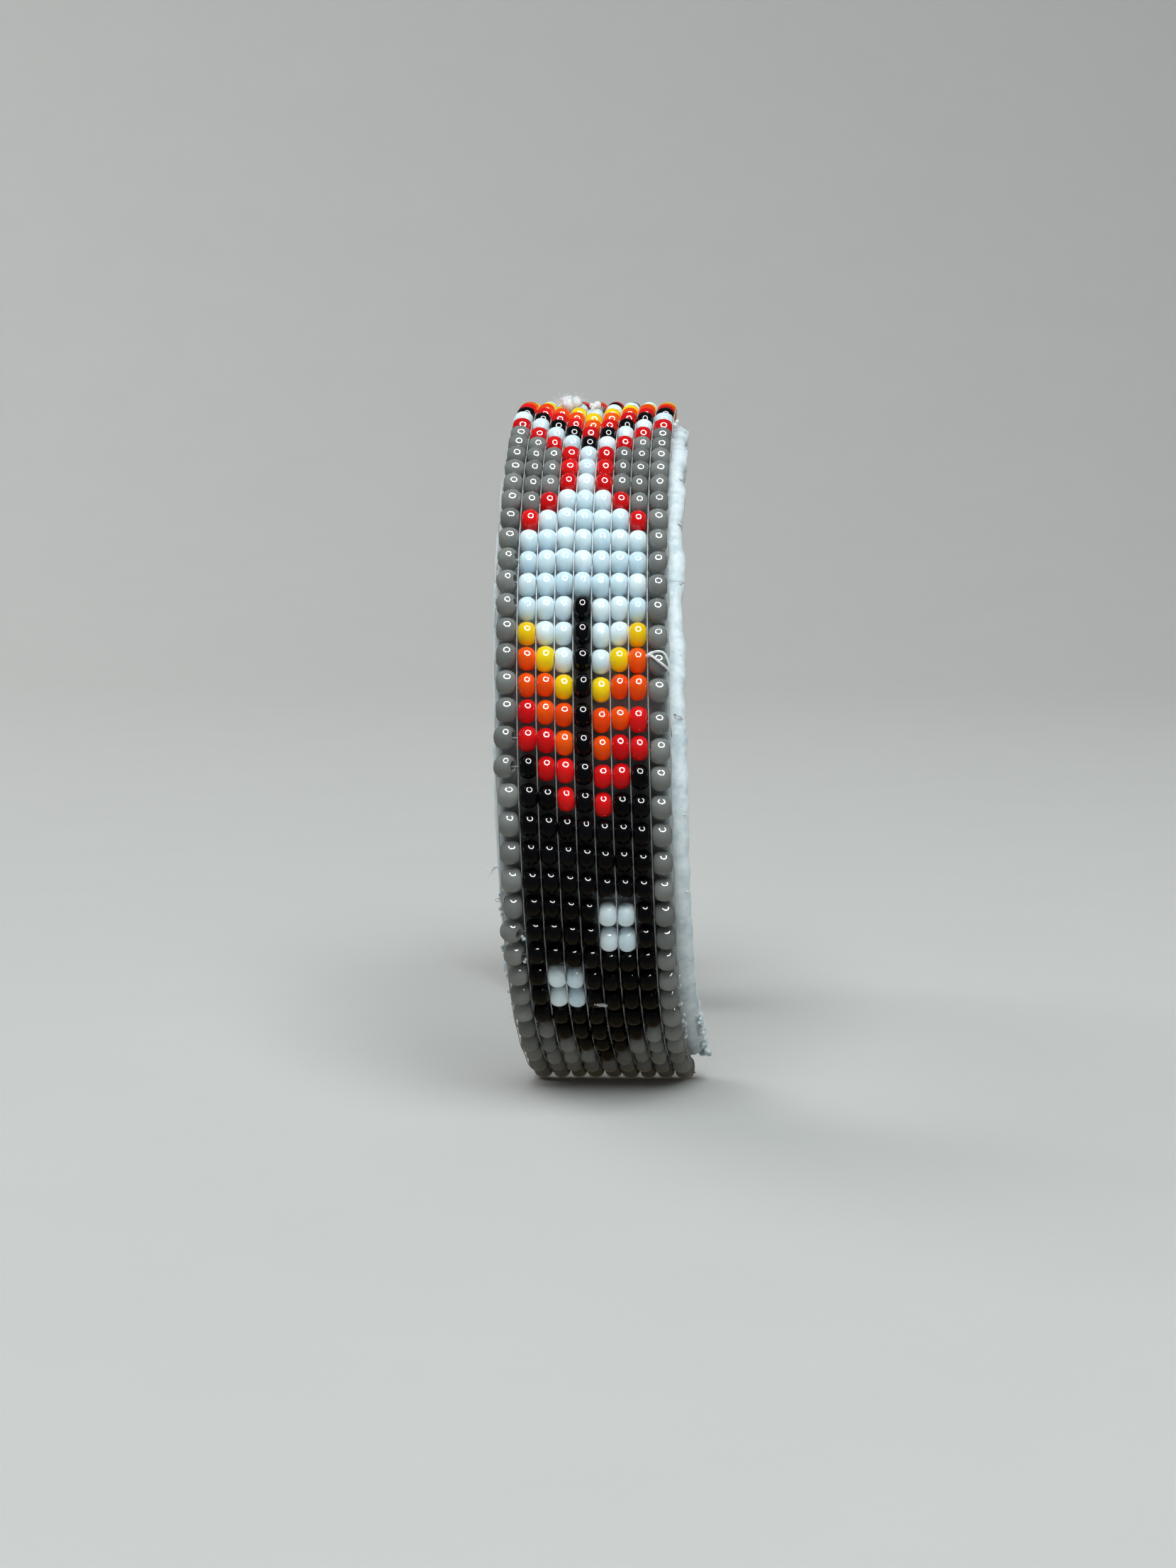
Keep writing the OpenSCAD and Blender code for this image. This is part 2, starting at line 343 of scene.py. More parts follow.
def felt_material(name, shade, light):
    """Short-napped felt: matted fibres, cloudy patches, and darkening by the vertex tone: painted shade
    between the beads, and a random tone on scraps and hairs.
    """
    material, tree, shader = new_material(name)
    clouds = spread(tree, object_noise(tree, 420, 4.0, 0.6), 0.0, 1.0, 0.36, 0.64)
    fibres = object_noise(tree, 5200, 5.0, 0.75)
    base = mixed(tree, clouds, shade, light)
    mottle = spread(tree, object_noise(tree, 1300, 3.0, 0.6), 0.0, 0.7, 0.42, 0.6)
    base = mixed(tree, mottle, base, (0.95, 0.985, 1.0))
    speckle = spread(tree, fibres, 0.0, 0.4, 0.45, 0.75)
    base = mixed(tree, speckle, base, (0.52, 0.6, 0.64))
    # A low vertex tone darkens the felt towards near-black: painted shade between the beads on the cover; on
    # scraps and hairs it is a random tone
    shade_and_tone = spread(tree, tone_of(tree), 0.92, 0.0)
    tree.links.new(mixed(tree, shade_and_tone, base, (0.06, 0.058, 0.05)), shader.inputs["Base Color"])
    shader.inputs["Roughness"].default_value = 0.92
    shader.inputs["Specular IOR Level"].default_value = 0.05
    shader.inputs["Sheen Weight"].default_value = 0.35
    shader.inputs["Sheen Roughness"].default_value = 0.5
    add_bump(tree, shader, fibres, 0.55, 0.00012)
    return material


def thread_material(name, colour):
    """Waxed thread with a fine twist."""
    material, tree, shader = new_material(name)
    where = tree.nodes.new("ShaderNodeTexCoord")
    twist = tree.nodes.new("ShaderNodeTexWave")
    twist.wave_type = "BANDS"
    twist.bands_direction = "DIAGONAL"
    twist.inputs["Scale"].default_value = 3500
    twist.inputs["Distortion"].default_value = 1.5
    tree.links.new(where.outputs["Object"], twist.inputs["Vector"])
    darker = tuple(0.72 * c for c in colour)
    twisted_colour = mixed(tree, twist.outputs["Fac"], darker, colour)
    # A low vertex tone mixes in dark grey: painted shade on warps and wefts between dark beads; elsewhere a
    # set or random darker tone
    tree.links.new(mixed(tree, tone_of(tree), (0.2, 0.2, 0.18), twisted_colour), shader.inputs["Base Color"])
    shader.inputs["Roughness"].default_value = 0.5
    shader.inputs["Specular IOR Level"].default_value = 0.04
    shader.inputs["Subsurface Weight"].default_value = 0.2
    shader.inputs["Subsurface Scale"].default_value = 0.0002
    add_bump(tree, shader, twist.outputs["Fac"], 0.3, 0.00003)
    return material


def fluff_material(name):
    """Fine translucent fibres."""
    material, tree, shader = new_material(name)
    paler = spread(tree, object_noise(tree, 2500, 3.0), 0.0, 1.0, 0.3, 0.7)
    tree.links.new(mixed(tree, paler, (0.93, 0.93, 0.94), (1.0, 0.99, 0.98)), shader.inputs["Base Color"])
    shader.inputs["Roughness"].default_value = 0.5
    shader.inputs["Specular IOR Level"].default_value = 0.05
    shader.inputs["Alpha"].default_value = 0.75
    return material


def brass_material(name):
    """Bare brass with a dull grain, for the blank inside the felt."""
    material, tree, shader = new_material(name)
    grain = object_noise(tree, 1400, 4.0)
    tree.links.new(mixed(tree, spread(tree, grain, 0.0, 1.0, 0.35, 0.65),
                         (0.5, 0.36, 0.16), (0.78, 0.6, 0.3)), shader.inputs["Base Color"])
    shader.inputs["Metallic"].default_value = 1.0
    tree.links.new(spread(tree, grain, 0.28, 0.5), shader.inputs["Roughness"])
    return material


GLASS = {
    "grey": bead_glass("grey_glass", (0.165, 0.17, 0.162), (0.245, 0.25, 0.235)),
    "white": bead_glass("white_glass", (0.6, 0.76, 0.86), (0.76, 0.89, 0.955),
                        milk=1.0, scatter=(0.85, 0.93, 1.0), coat=0.5, gloss=1.5),
    "black": bead_glass("black_glass", (0.001, 0.001, 0.0015), (0.003, 0.003, 0.004), gloss=1.42),
    "red": bead_glass("red_glass", (0.64, 0.004, 0.006), (0.84, 0.01, 0.01)),
    "orange": bead_glass("orange_glass", (0.88, 0.055, 0.002), (0.98, 0.1, 0.003)),
    "yellow": bead_glass("yellow_glass", (0.94, 0.54, 0.002), (1.0, 0.7, 0.006)),
}
FELT = felt_material("felt", (0.62, 0.71, 0.75), (0.84, 0.92, 0.95))
LINING_FELT = felt_material("lining_felt", (0.62, 0.69, 0.72), (0.78, 0.85, 0.88))
THREAD = thread_material("waxed_thread", (0.9, 0.91, 0.92))
FLUFF = fluff_material("fluff")
BRASS = brass_material("satin_brass")


# ---------------------------------------------------------------- beads

def bead_profile(half):
    """One closed outline of a bead's wall: (mm along the hole, mm from its middle)."""
    face, lip = 0.47, 0.05
    outer = [(half * math.sin(t), face + (BEAD_R - face) * max(0.0, math.cos(t)) ** 1.05)
             for t in (math.radians(15 * i) for i in range(-6, 7))]
    right = [(half - lip * (1 - math.cos(t)), HOLE_R + lip * (1 - math.sin(t)))
             for t in (math.radians(a) for a in (0, 30, 60, 90))]
    left = [(-x, r) for x, r in reversed(right)]
    return outer + right + left


def bead_mesh(half, sides=28):
    """A bead's points, in mm, and faces; its hole runs along X."""
    outline = bead_profile(half)
    points = [Vector((x, r * math.cos(2 * math.pi * j / sides), r * math.sin(2 * math.pi * j / sides)))
              for j in range(sides) for x, r in outline]
    return points, ring_faces(sides, len(outline), closed=True)


INNER_BEAD = bead_mesh(BEAD_HALF)
EDGE_BEAD = bead_mesh(EDGE_BEAD_HALF)
# Left-hand edge beads that sit turned, so that their holes show: degrees by row
TURNED_BEADS = {14: 20, 15: 26, 16: 20, 21: 22, 22: 30, 28: 40, 29: 24, -17: 22, -26: 28}
# The front arm's rows part a little here, and two columns dip towards the end here
SLACK_ROW, SLACK = 19.5, 0.016
DIP_ROW, DIP_REACH, DIP, DIP_COLUMNS = 27.9, 1.5, 0.17, (1, 2)
# Beads grow unruly over the last rows
UNRULY_ROW, UNRULY_OVER = 31, 3


def bead_row(row, col):
    """Where a bead really sits along the band: rows lean, columns drift, one row runs slack."""
    side = -1 if row < 0 else 1
    leaning = side * column_x(col) * lean(abs(row)) / ROW_PITCH
    drift = 0.15 * wander(row, 20 + col, 8) + 0.025 * wander(row, 40 + col, 1.3)
    settled = min(1.0, (LAST_ROW - abs(row)) / 3)
    past = row - SLACK_ROW
    slack = SLACK * max(0, col + 2) * math.copysign(math.exp(-abs(past) / 3), past) if side > 0 else 0
    dip = DIP * math.exp(-((row - DIP_ROW) / DIP_REACH) ** 2) if col in DIP_COLUMNS else 0
    return row + leaning + drift * settled + slack + dip


def add_bead(shape, rng, row, col):
    """One bead where the weaving has left it: a little turned, lifted, skewed and off size."""
    x = column_x(col) - PANEL_SHIFT
    tied_row = abs(row) >= LAST_ROW - 1
    unruly = 0.4 if tied_row else max(0.0, min(1.0, (abs(row) - UNRULY_ROW) / UNRULY_OVER))
    along = bead_row(row, col) + rng.uniform(-0.008, 0.008) + 0.09 * unruly * rng.uniform(-1, 1)
    x += 0.07 * unruly * rng.uniform(-1, 1)
    width = max(0.98, min(rng.gauss(1.05, 0.025), 1.085)) - 0.07 * unruly
    size = rng.gauss(0.995, 0.03)
    size = max(0.95, min(size, 1.0 if tied_row else 1.05))
    roll = math.radians(rng.gauss(0, 1.8 + 5 * unruly))
    yaw = math.radians(rng.gauss(0, 1.6 + 4 * unruly))
    skew = rng.gauss(0, 0.03)
    lift = -rng.uniform(0, 0.05) + (0 if tied_row else 0.12 * unruly * rng.uniform(-0.5, 1))
    if col == -4 and row in TURNED_BEADS:
        roll = -math.radians(TURNED_BEADS[row])
        x -= 0.006 * TURNED_BEADS[row] if row > 20 else 0
        lift = -0.12
        size = 0.95
    slanted_cut = Matrix(((1, skew, 0, 0), (0, 1, 0, 0), (0, 0, 1, 0), (0, 0, 0, 1)))
    matrix = (Matrix.Translation(place(along, x, lift)) @ turned(along)
              @ Matrix.Rotation(yaw, 4, "Z") @ Matrix.Rotation(roll, 4, "Y")
              @ Matrix.Rotation(rng.uniform(0, 6.28), 4, "X") @ slanted_cut
              @ Matrix.Diagonal((width * MM, size * MM, size * MM, 1)))
    points, faces = EDGE_BEAD if abs(col) == 4 else INNER_BEAD
    shape.add([matrix @ p for p in points], faces, rng.random())


def make_beads():
    """The beads of each segment, one piece a colour, and the two last rows of each end by themselves."""
    rng = random.Random(11)
    for segment, (body, first, last) in BODIES.items():
        groups = {}
        for row in range(first, last + 1):
            for col in range(-4, 5):
                end_row = abs(row) >= LAST_ROW - 1
                name = COLOUR_NAMES[bead_letter(row, col)]
                key = ("end", "grey") if end_row else (name, name)
                add_bead(groups.setdefault(key, Shape()), rng, row, col)
        for (prefix, colour), shape in groups.items():
            node = f"{prefix}_beads_{segment}"
            piece = shape.build(f"{node}_detail", GLASS[colour])
            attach(piece, body)
            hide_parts(node)


# Painted shade on the felt and threads between beads of each colour: how light they are painted there,
# darkest between black beads
GAP_SHADE = {"W": 0.95, "K": 0.02, "G": 0.22, "R": 0.2, "O": 0.25, "Y": 0.35}


def gap_shade_tone(row, x):
    """Painted shade between the beads, x mm from the panel's middle: felt and threads there are painted
    darker beside darker beads, and dark past the last row.
    """
    total = 0
    for near_row in (math.floor(row), math.ceil(row)):
        for near_x in (x - 0.4, x + 0.4):
            col = max(-4, min(4, round(near_x / COLUMN_PITCH)))
            total += GAP_SHADE[bead_letter(max(-LAST_ROW, min(LAST_ROW, near_row)), col)]
    return total / 4 if abs(row) < LAST_ROW - 0.5 else 0.05


# ---------------------------------------------------------------- felt

def corner_half(row, half):
    """Half the felt's width at a row; it narrows round the corners at the ends."""
    over = max(0.0, (abs(row) - END_ROW) * ROW_PITCH + CORNER_R)
    return half - CORNER_R + math.sqrt(max(0.04, CORNER_R ** 2 - over ** 2))


# The felt's cut edge bulges past its corners by this much
EDGE_ROUNDING = 0.12
# Steps across a strip's showing face; its outline starts with the points between them
FACE_STEPS = 40
STEPS_A_ROW = 7
# The cover's painted shade from the beads fades out from here to the edge, in mm from the panel's middle
CLEAR_FROM, CLEAR_OVER = 6.35, 0.7


def felt_edges(row):
    """Where the felt's two cut edges run at a row, in mm across."""
    half = corner_half(row, FELT_HALF - EDGE_ROUNDING)
    left = -half + 0.14 * wander(row, 3, 2.6) + 0.06 * wander(row, 4, 0.7)
    scallop = 0.05 * math.sin(2 * math.pi * row / 1.28 + 1.5 * wander(row, 7, 3))
    fading = max(0.0, min(1.0, (22 - abs(row)) / 6))
    waves = 0.17 * math.cos(2 * math.pi * (abs(row) - 5.8) / 3.9) * fading
    trim = -0.3 * math.exp(-(row / 8) ** 2) - 0.3 * max(0.0, min(1.0, (-row - 24) / 6))
    right = half + scallop + waves + trim + 0.12 * wander(row, 5, 3.1) + 0.04 * wander(row, 6, 0.8)
    return left, right


def pocket_depths(row):
    """Where the pocket's two faces lie; it closes just before the end."""
    if abs(row) > END_ROW - 0.2:
        return SEAM - 0.03, SEAM + 0.03
    return COVER_BOTTOM, LINING_TOP


def cover_outline(row):
    """Cross-section of the outer felt, in (mm across, mm deep), from the left edge round."""
    left, right = felt_edges(row)
    inner_left, inner_right = max(left + 0.5, -POCKET_HALF), min(right - 0.5, POCKET_HALF)
    top = [(left + (right - left) * i / FACE_STEPS, COVER_TOP) for i in range(1, FACE_STEPS)]
    round_right = [(right + 0.1, COVER_TOP + 0.35), (right + EDGE_ROUNDING, SEAM - 0.3),
                   (right + 0.04, SEAM - 0.06)]
    roof = pocket_depths(row)[0]
    under = [(inner_right, SEAM - 0.03), (inner_right - 0.1, roof),
             (inner_left + 0.1, roof), (inner_left, SEAM - 0.03)]
    round_left = [(left - 0.04, SEAM - 0.06), (left - EDGE_ROUNDING, SEAM - 0.3),
                  (left - 0.1, COVER_TOP + 0.35)]
    return top + round_right + under + round_left


def lining_outline(row):
    """Cross-section of the inner felt, in (mm across, mm deep), from the right edge round."""
    left, right = felt_edges(row)
    left, right = left + 0.06, right - 0.06
    inner_left, inner_right = max(left + 0.5, -POCKET_HALF), min(right - 0.5, POCKET_HALF)
    under = [(right - (right - left) * i / FACE_STEPS, LINING_BOTTOM) for i in range(1, FACE_STEPS)]
    round_left = [(left - 0.1, LINING_BOTTOM - 0.35), (left - EDGE_ROUNDING, SEAM + 0.3),
                  (left - 0.04, SEAM + 0.06)]
    bed = pocket_depths(row)[1]
    top = [(inner_left, SEAM + 0.03), (inner_left + 0.1, bed),
           (inner_right - 0.1, bed), (inner_right, SEAM + 0.03)]
    round_right = [(right + 0.04, SEAM + 0.06), (right + EDGE_ROUNDING, SEAM + 0.3),
                   (right + 0.1, LINING_BOTTOM - 0.35)]
    return under + round_left + top + round_right


def nap(row, x, depth, seed):
    """Small lumps in the felt's surface, in mm inwards."""
    spot = Vector((row * ROW_PITCH, x, seed * 3.1))
    lump = noise.fractal(spot * 0.9, 0.9, 2.2, 3)
    grain = noise.noise(spot * 5.5)
    return 0.11 * abs(lump) + 0.03 * grain


def felt_strip(name, first, last, outline, outward, material):
    """One stretch of felt; outward is -1 for a face that looks away from the wrist."""
    steps = round(abs(last - first) * STEPS_A_ROW)
    shape = Shape()
    for i in range(steps + 1):
        row = first + (last - first) * i / steps
        for j, (x, depth) in enumerate(outline(row)):
            showing = j < FACE_STEPS - 1
            sink = -outward * nap(row, x, depth, 2 if outward < 0 else 8) if showing else 0
            tone = 0.9
            # Painted shade: the cover's face is darkened between and beside the beads, fading out towards
            # its edges
            if showing and outward < 0:
                clear = min(1.0, max(0.0, (abs(x + PANEL_SHIFT) - CLEAR_FROM) / CLEAR_OVER))
                tone = clear + (1 - clear) * gap_shade_tone(row, x + PANEL_SHIFT)
            shape.add([place(row, x, depth + sink)], [], tone)
    count = len(shape.points) // (steps + 1)
    faces = ring_faces(steps + 1, count)
    shape.flat = {len(faces), len(faces) + 1}
    faces += [tuple(range(count))[::-1], tuple(steps * count + j for j in range(count))]
    flip = (last - first) * outward < 0
    shape.faces = [face[::-1] for face in faces] if flip else faces
    return shape.build(name, material)


def stretches():
    """The four stretches of the continuous strips, each crossing one flex line."""
    for side, name in ((1, "front"), (-1, "back")):
        yield (f"{name}_upper", "root", f"{name}_side", side * FLEX_ROWS[0], 0.0, side * MID_ROW,
               ("centre", f"{name}_side"))
        yield (f"{name}_lower", f"{name}_side", f"{name}_end", side * FLEX_ROWS[1],
               side * MID_ROW, side * END_ROW, (f"{name}_side", f"{name}_end"))


BEND_ROWS, BEND_DEPTH = 1.2, 1.9


def bend_over(piece, row):
    """Bakes the piece's placement into its mesh; the band's points a little more than a row each way of this
    row are worked out but not used.
    """
    reach = math.copysign(BEND_ROWS, row)
    place(row - reach, 0, BEND_DEPTH)
    place(row + reach, 0, BEND_DEPTH)
    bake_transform(piece)


def make_felt():
    """Cover and lining, each in four stretches held over the blank."""
    for name, near, far, flex, first, last, segments in stretches():
        for kind, outline, outward, material in (
                ("felt_cover", cover_outline, -1, FELT), ("felt_lining", lining_outline, 1, LINING_FELT)):
            piece = felt_strip(f"{kind}_{name}", first, last, outline, outward, material)
            bend_over(piece, flex)
            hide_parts(*[f"{kind}_{s}" for s in segments])


# ---------------------------------------------------------------- thread

WARP_R = 0.042
WARP_DEPTH, WARP_WEAVE = -0.36, 0.1
WARP_PAST_LAST_ROW = 0.45
WEFT_R, WEFT_DEPTH = 0.07, 0.17
TURN_R = 0.06


def warp_positions():
    """Where the ten warps run, in mm from the panel's middle."""
    edge = column_x(4) + EDGE_BEAD_HALF + 2 * WARP_R
    gap = (column_x(3) + BEAD_HALF + column_x(4) - EDGE_BEAD_HALF) / 2
    inner = [(i - 4.5) * COLUMN_PITCH for i in range(2, 8)]
    return [-edge, -gap, *inner, gap, edge]


def make_warps():
    """Lengthwise threads that weave over and under the wefts, with painted shade that darkens them between
    dark beads.
    """
    for name, near, far, flex, first, last, segments in stretches():
        last = math.copysign(min(abs(last), LAST_ROW + WARP_PAST_LAST_ROW), last)
        shape = Shape()
        steps = round(abs(last - first) * 4)
        for i, x in enumerate(warp_positions()):
            path, tones = [], []
            for j in range(steps + 1):
                row = first + (last - first) * j / steps
                weave = WARP_WEAVE * math.cos(math.pi * row) * (1 if i % 2 else -1)
                path.append(place(row, x - PANEL_SHIFT, WARP_DEPTH + weave))
                # Painted shade: the warp is darkened beside dark beads
                tones.append(0.1 + 0.9 * gap_shade_tone(row, x))
            shape.tube(path, WARP_R * MM, 6, tones)
        piece = shape.build(f"warp_threads_{name}", THREAD)
        bend_over(piece, flex)
        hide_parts(*[f"warp_threads_{s}" for s in segments])


def weft_point(row, x, depth):
    """A point by a row's beads, x mm from the panel's middle."""
    col = max(-4.0, min(4.0, x / COLUMN_PITCH))
    low, high = math.floor(col), math.ceil(col)
    near, whole = round(row), row - round(row)
    a, b = bead_row(near, low), bead_row(near, high)
    return place(a + (b - a) * (col - low) + whole, x - PANEL_SHIFT, depth)


def weft_turn(row, side, bulge):
    """The weft's way round the edge, from one row's lower pass to the next row's upper one."""
    half = column_x(4) + EDGE_BEAD_HALF
    return [weft_point(row, side * half, WEFT_DEPTH), weft_point(row + 0.12, side * bulge, 0.12),
            weft_point(row + 0.5, side * (bulge + 0.03), 0.1), weft_point(row + 0.88, side * bulge, -0.05),
            weft_point(row + 1, side * half, -WEFT_DEPTH)]


def make_wefts():
    """Two passes through each row's beads, with turns round the edge beads between rows."""
    rng = random.Random(23)
    half = column_x(4) + EDGE_BEAD_HALF
    across = [half * i / 9 for i in range(-9, 10)]
    for segment, (body, first, last) in BODIES.items():
        shape = Shape()
        for row in range(first, last + 1):
            # Painted shade: the wefts are darkened beside dark beads
            tones = [0.1 + 0.6 * gap_shade_tone(row, x) for x in across]
            for depth in (-WEFT_DEPTH, WEFT_DEPTH):
                shape.tube([weft_point(row, x, depth) for x in across], WEFT_R * MM, 6, tones)
            for side in (-1, 1):
                if row == last or (row + (side > 0)) % 2:
                    continue
                turn = weft_turn(row, side, half + rng.uniform(0.06, 0.14))
                shape.tube(smooth_path(turn, 5), TURN_R * MM, 6, 0.25)
        piece = shape.build(f"weft_threads_{segment}_detail", THREAD)
        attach(piece, body)
        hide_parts(f"weft_threads_{segment}")


STITCH_STEP = 3
STITCH_SLANT = math.radians(25)
STITCH_R = 0.07
# One stitch stands clear of the nap, by row and side; the others are pulled in under it
PROUD_STITCH = (20, 1)
PROUD_DEPTH, SUNK_DEPTH = -0.26, 0.12


def make_stitches():
    """Tacking stitches that come up through the felt beside the beads and go down again."""
    rng = random.Random(31)
    for segment, (body, first, last) in BODIES.items():
        shape = Shape()
        for row in range(first, last + 1):
            if abs(row) % STITCH_STEP != STITCH_STEP - 1:
                continue
            for side in (-1, 1):
                middle = side * (FELT_HALF - 0.6)
                half = rng.uniform(0.3, 0.38)
                slant = STITCH_SLANT + rng.uniform(-0.2, 0.2)
                path = []
                showing = (row, side) == PROUD_STITCH
                crest = PROUD_DEPTH if showing else SUNK_DEPTH
                middle_row = row - 0.1 if showing else row + math.copysign(0.5, row)
                for reach, depth in ((-1.25, 0.22), (-1.0, 0.08), (-0.5, crest + 0.03), (0, crest),
                                     (0.5, crest + 0.03), (1.0, 0.08), (1.25, 0.22)):
                    across, along = half * reach * math.cos(slant), half * reach * math.sin(slant)
                    path.append(place(middle_row + along / ROW_PITCH, middle + side * across,
                                      COVER_TOP + depth))
                shape.tube(smooth_path(path, 4), STITCH_R * MM, 8, 1.0 if showing else 0.85)
        piece = shape.build(f"tack_stitches_{segment}_detail", THREAD)
        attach(piece, body)
        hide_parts(f"tack_stitches_{segment}")


LOOP_ROW = 18


def make_loose_loop():
    """A slack loop over the right-hand edge bead on one row, and its tail down beside the beads."""
    bead = column_x(4)

    def at(row_offset, across, depth):
        """Rows past the loop's own, and mm from that bead's middle."""
        return weft_point(LOOP_ROW + row_offset, bead + across, depth)

    over = [at(-0.1, -0.86, -0.1), at(-0.14, -0.82, -0.6), at(-0.24, -0.45, -0.85),
            at(-0.29, 0.05, -0.95), at(-0.22, 0.45, -0.92), at(-0.02, 0.72, -0.7),
            at(0.2, 0.84, -0.36), at(0.42, 0.84, 0)]
    back = [at(-0.1, -0.84, -0.1), at(-0.16, -0.8, -0.66), at(-0.06, -0.45, -1.06),
            at(0.08, -0.05, -1.12), at(0.2, 0.35, -1.03), at(0.28, 0.66, -0.72),
            at(0.36, 0.84, -0.25), at(0.42, 0.84, 0.1)]
    tail = [at(0.42, 0.84, 0), at(0.9, 0.85, 0.25), at(1.5, 0.88, 0.3), at(2.1, 0.92, 0.55),
            at(2.4, 1.0, COVER_TOP + 0.1)]
    shape = Shape()
    for path, radius, tone in ((over, 0.1, 1.0), (back, 0.1, 1.0), (tail, 0.06, 0.8), (over[:3], 0.16, 1.0)):
        shape.tube(smooth_path(path, 6), radius * MM, 8, tone)
    piece = shape.build("loose_thread_loop", THREAD)
    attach(piece, "front_side")


# ---------------------------------------------------------------- fibres and frayed bits

FLOOR_CLEARANCE = 0.00006
HAIRS_A_ROW = 9

# Matted scraps along the left edge and at the right-hand corner: row, size in mm
LEFT_SCRAPS = [(26.8, 0.12), (27.4, 0.16), (28.3, 0.14), (29.0, 0.22), (29.9, 0.28), (30.2, 0.3),
               (30.6, 0.24), (31.5, 0.2), (32.2, 0.16), (33.0, 0.14)]
CORNER_SCRAPS = [(33.2, 0.2), (33.6, 0.26), (34.0, 0.28), (34.4, 0.22), (35.6, 0.22), (36.3, 0.3),
                 (36.9, 0.3)]
# Rows with lint between the right-hand edge beads and the felt
LINT_ROWS = (30.1, 30.7, 31.4, 32.3, 33.0, 33.6)
# Stray hairs: row, mm across, depth, aim, length
STRAY_HAIRS = [(36.6, -6.3, 0.6, (0.5, 0.1, 1.0), 2.8), (32.6, -7.5, 1.2, (-0.5, -0.9, 0.2), 2.4),
               (31.5, -7.4, 1.2, (-0.8, -0.6, 0.1), 1.2), (20.5, 7.4, 1.2, (0.9, 0.3, 0.3), 1.0)]
# Wisps of fluff: row, column, depth, hairs, their length, lump size, half width
TUFTS = [(2.2, -1.6, -1.0, 170, 1.6, 0.48, 0.75),
         (2.9, 0.1, -0.95, 40, 0.6, 0.32, 0.5),
         (4.2, 4.75, 0.0, 40, 0.6, 0.2, 0.2)]
FRAYED_ROW, CURL_ROW, FLAKE_ROW = 25.4, 26.9, 30.97
STUBBED_ROWS = (28, 29)


def above_floor(point):
    """The point, raised to just above the floor if it hangs lower."""
    return Vector((point.x, point.y, max(point.z, FLOOR_CLEARANCE)))


def add_fibre(shape, rng, row, x, depth, length, aim, radius=0.011):
    """A hair that starts in the felt and wanders off, in mm; aim is (across, along, outwards)."""
    heading = Vector(aim).normalized()
    spot = Vector((x, 0, 0))
    base = place(row, 0, depth)
    axes = turned(row).to_3x3()
    path = []
    for _ in range(9):
        path.append(above_floor(base + axes @ (spot * MM)))
        bend = Vector((rng.gauss(0, 0.28), rng.gauss(0, 0.28), rng.gauss(0, 0.16)))
        heading = (heading + bend).normalized()
        spot = spot + heading * (length / 8)
    shape.tube(path, radius * MM, 5, rng.uniform(0.6, 1), taper=True)


def add_crumb(shape, rng, row, x, depth, size):
    """A matted scrap of felt: a rough little lump."""
    rings, sides = 8, 9
    centre = place(row, x, depth)
    seed = Vector((rng.uniform(0, 50), rng.uniform(0, 50), 0))
    points = []
    for i in range(rings):
        for j in range(sides):
            a, b = math.pi * i / (rings - 1), 2 * math.pi * j / sides
            d = Vector((math.sin(a) * math.cos(b), math.sin(a) * math.sin(b), math.cos(a)))
            r = size * (1 + 0.55 * noise.noise(d * 1.7 + seed))
            points.append(above_floor(centre + d * r * MM))
    shape.add(points, ring_faces(rings, sides), rng.uniform(0.6, 1))


def add_frayed_front(shape, rng):
    """Matted scraps, lint and stray hairs by the front end of the band."""
    for row, size in LEFT_SCRAPS:
        x = felt_edges(row)[0]
        for _ in range(3):
            add_crumb(shape, rng, row + rng.uniform(-0.15, 0.15), x + rng.uniform(-0.22, 0.04),
                      rng.uniform(0.85, 1.4), size * rng.uniform(0.6, 1.1))
    for row in LINT_ROWS:
        x = column_x(4) + EDGE_BEAD_HALF - PANEL_SHIFT
        for _ in range(2):
            add_crumb(shape, rng, row + rng.uniform(-0.2, 0.2), x + rng.uniform(0.0, 0.25),
                      rng.uniform(-0.1, 0.5), rng.uniform(0.1, 0.19))
    for row, size in CORNER_SCRAPS:
        x = felt_edges(row)[1]
        for _ in range(4):
            add_crumb(shape, rng, row + rng.uniform(-0.2, 0.2), x + rng.uniform(-0.1, 0.22),
                      rng.uniform(0.8, 1.7), size * rng.uniform(0.6, 1.0))
    for row, x, depth, aim, length in STRAY_HAIRS:
        add_fibre(shape, rng, row, x, depth, length, aim, 0.016)


